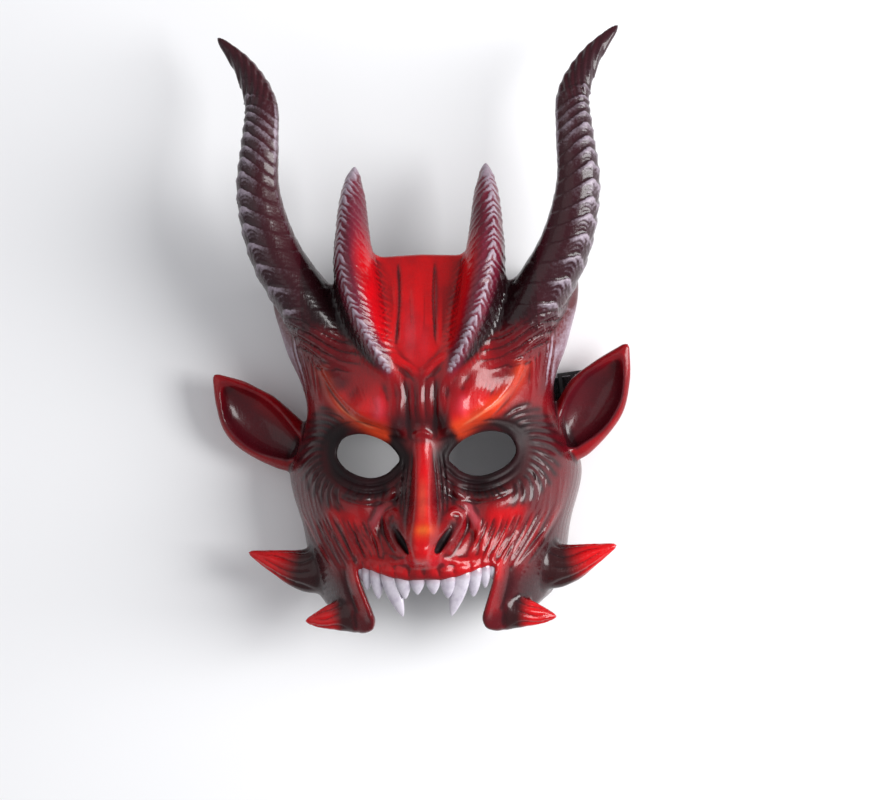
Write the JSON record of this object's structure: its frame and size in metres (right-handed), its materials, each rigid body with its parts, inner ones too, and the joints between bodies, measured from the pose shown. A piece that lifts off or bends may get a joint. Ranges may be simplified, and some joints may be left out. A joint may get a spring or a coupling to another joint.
{
  "type": "devil mask",
  "caption": "Moulded foam devil face mask with curved horns, ears, cheek spikes, teeth and an elastic head strap.",
  "frame": {"origin": "middle of the outline's box, on the surface that the mask's back rim lies on", "axes": "+X to the viewer's right across the face, +Y from the jaw to the horn tips, +Z out of the face, up when it lies down"},
  "size_m": [0.2494, 0.353, 0.1079],
  "materials": {
    "painted_foam": "glossy hand painted, red with black and silver grey",
    "black_elastic": "matt ribbed weave",
    "black_plastic": "satin moulded"
  },
  "bodies": {
    "root": {"mask_body": "painted_foam", "strap_band": "black_elastic", "strap_slider": "black_plastic"}
  },
  "joints": []
}
